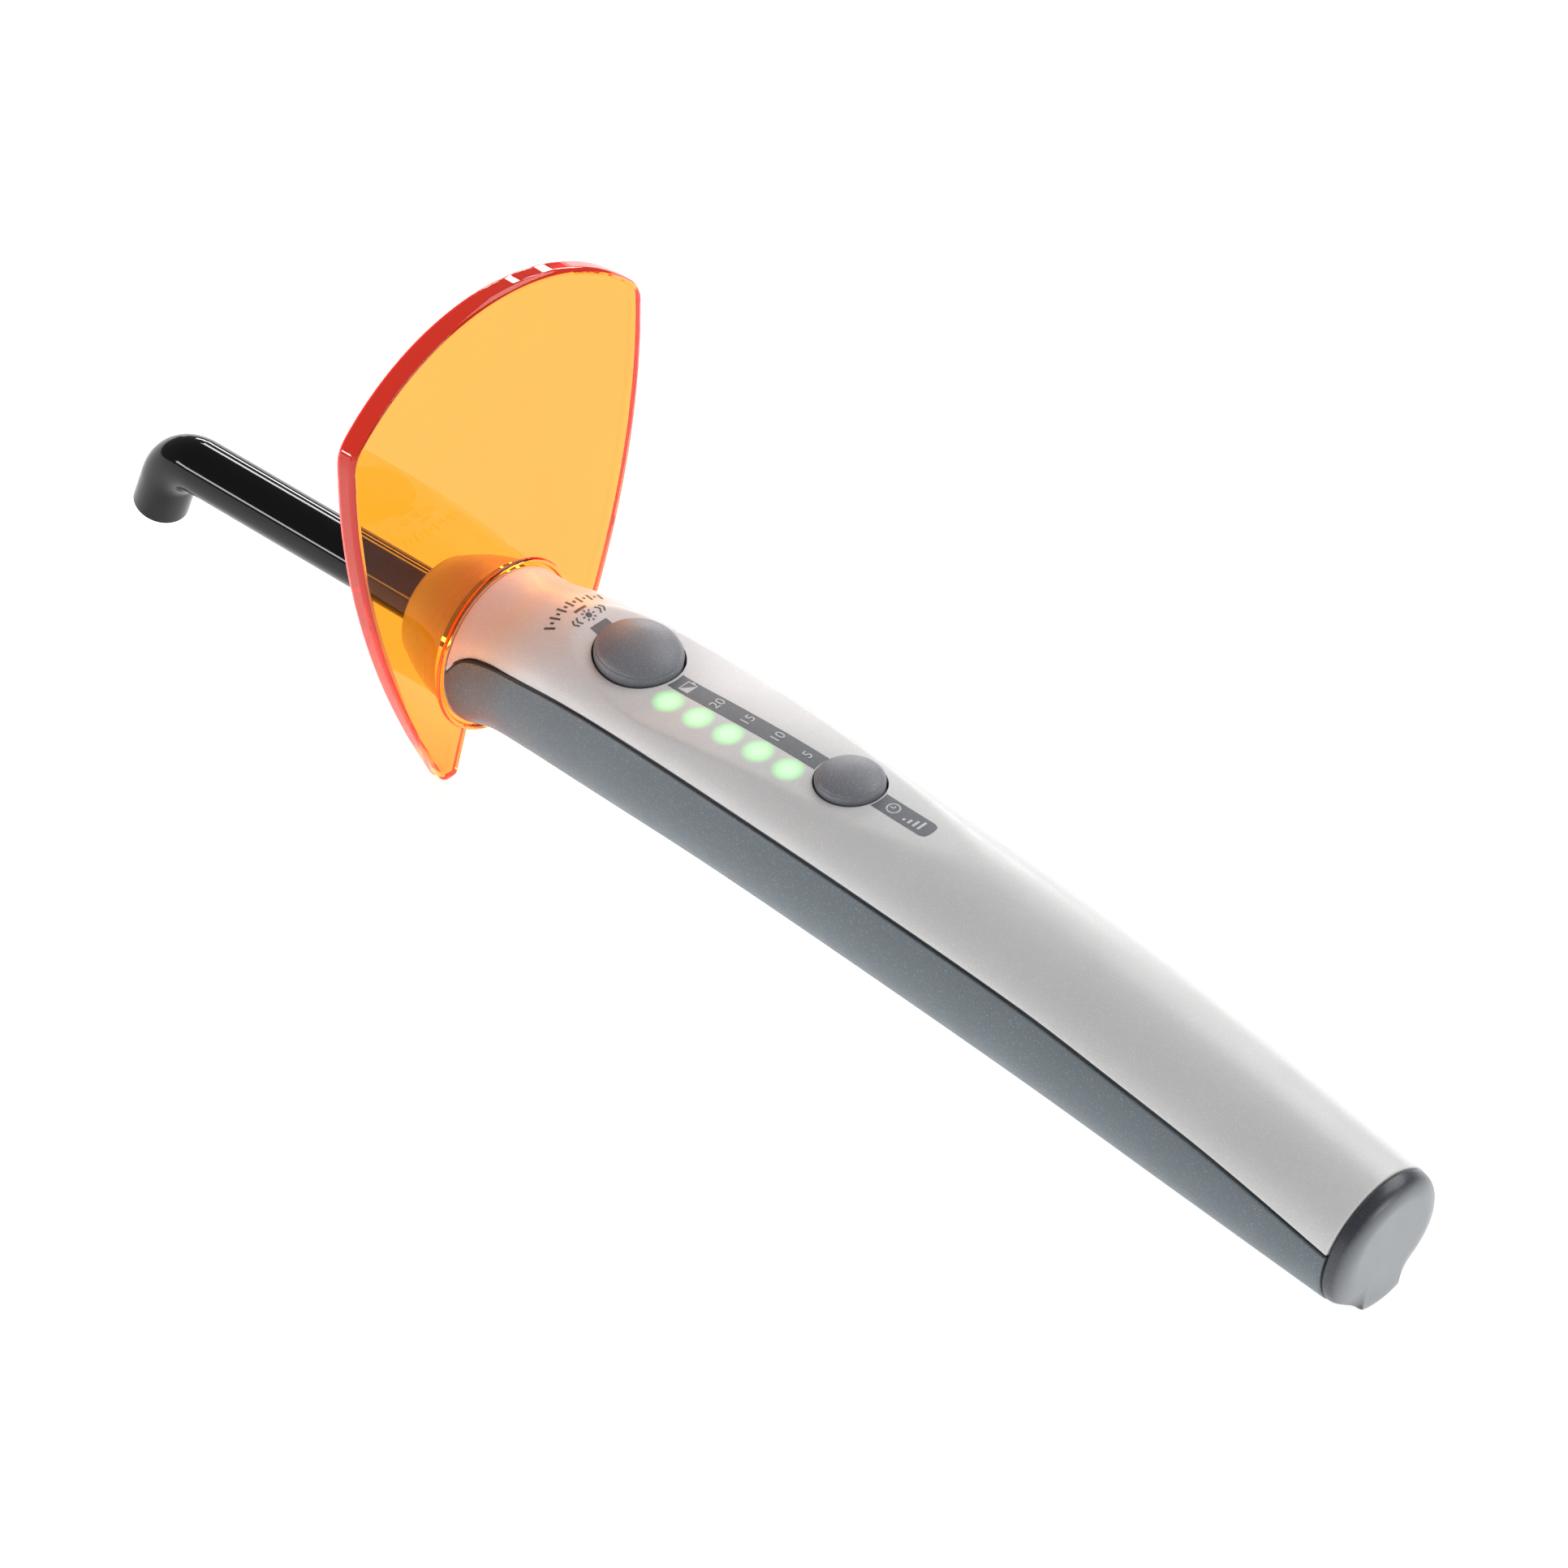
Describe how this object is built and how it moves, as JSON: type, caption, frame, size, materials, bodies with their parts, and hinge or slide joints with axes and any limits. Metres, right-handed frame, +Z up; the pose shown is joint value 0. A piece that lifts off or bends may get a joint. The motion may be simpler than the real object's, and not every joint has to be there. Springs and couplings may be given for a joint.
{
  "type": "dental curing light",
  "caption": "Cordless handheld dental curing light with a swivelling light guide, an orange eye shield, push buttons and a pull-off rear cap.",
  "frame": {"origin": "middle of the bounding box at table height; the part stands on the eye shield's feet and the rear end of the handle", "axes": "+X back along the handle to the rear cap, -X out along the light guide, +Z up"},
  "size_m": [0.2842, 0.068, 0.0931],
  "materials": {
    "shell_white": "pearl satin",
    "shell_slate": "soft-touch satin with fine sparkle",
    "seam_black": "matt",
    "button_grey": "soft matt with fine sparkle",
    "cap_grey": "satin",
    "shield_orange": "clear orange, polished edges",
    "guide_black": "polished black cladding",
    "guide_glass": "polished fibre bundle",
    "steel": "turned",
    "magnet": "nickel plated",
    "clear_plastic": "clear moulded optic",
    "led_yellow": "phosphor-like emitter cover",
    "aluminium": "plain machined",
    "board_green": "solder-masked board",
    "black_plastic": "plain",
    "switch_black": "plain",
    "led_green": "green indicator",
    "cell_wrap": "shrink wrap",
    "contact_metal": "nickel strip"
  },
  "bodies": {
    "handpiece": {"upper_shell": "shell_white", "lower_shell": "shell_slate", "seam_gasket": "seam_black", "nose_cone": "shell_white", "friction_ring": "seam_black", "guide_socket": "steel", "ring_magnet": "magnet", "collimator_lens": "clear_plastic", "led_emitter": "led_yellow", "led_board": "aluminium", "heat_sink": "aluminium", "control_board": "board_green", "board_frame": "black_plastic", "board_screws": "steel", "start_switch": "switch_black", "timer_switch": "switch_black", "status_leds": "led_green", "light_pipes": "clear_plastic", "buzzer": "magnet", "controller_chip": "switch_black", "battery_cell": "cell_wrap", "battery_contact_front": "contact_metal", "battery_contact_rear": "contact_metal", "battery_cradle": "black_plastic", "end_bulkhead": "black_plastic", "bulkhead_screws": "steel", "charging_socket": "black_plastic"},
    "eye_shield": {"eye_shield": "shield_orange"},
    "guide_carrier": {"guide_collar": "steel"},
    "light_guide": {"guide_sheath": "guide_black", "guide_core": "guide_glass", "guide_ferrule": "steel"},
    "start_button": {"start_button": "button_grey"},
    "timer_button": {"timer_button": "button_grey"},
    "rear_cap": {"rear_cap": "cap_grey", "cap_seal": "seam_black"}
  },
  "joints": [
    {"name": "shield_swivel", "type": "hinge", "parent": "handpiece", "child": "eye_shield", "pos_m": [-0.05718, 0, 0.02198], "axis": [0.9994, 0, 0.0348], "continuous": true},
    {"name": "guide_pull", "type": "slide", "parent": "handpiece", "child": "guide_carrier", "axis": [-0.9994, 0, -0.0348], "range_m": [0, 0.018]},
    {"name": "guide_swivel", "type": "hinge", "parent": "guide_carrier", "child": "light_guide", "pos_m": [-0.06368, 0, 0.02175], "axis": [0.9994, 0, 0.0348], "continuous": true},
    {"name": "start_press", "type": "slide", "parent": "handpiece", "child": "start_button", "axis": [-0.0873, 0, -0.9962], "range_m": [0, 0.0006], "stiffness_N_per_m": 2500},
    {"name": "timer_press", "type": "slide", "parent": "handpiece", "child": "timer_button", "axis": [0.0348, 0, -0.9994], "range_m": [0, 0.0006], "stiffness_N_per_m": 2500},
    {"name": "cap_pull", "type": "slide", "parent": "handpiece", "child": "rear_cap", "axis": [0.9936, 0, -0.1133], "range_m": [0, 0.02]}
  ]
}
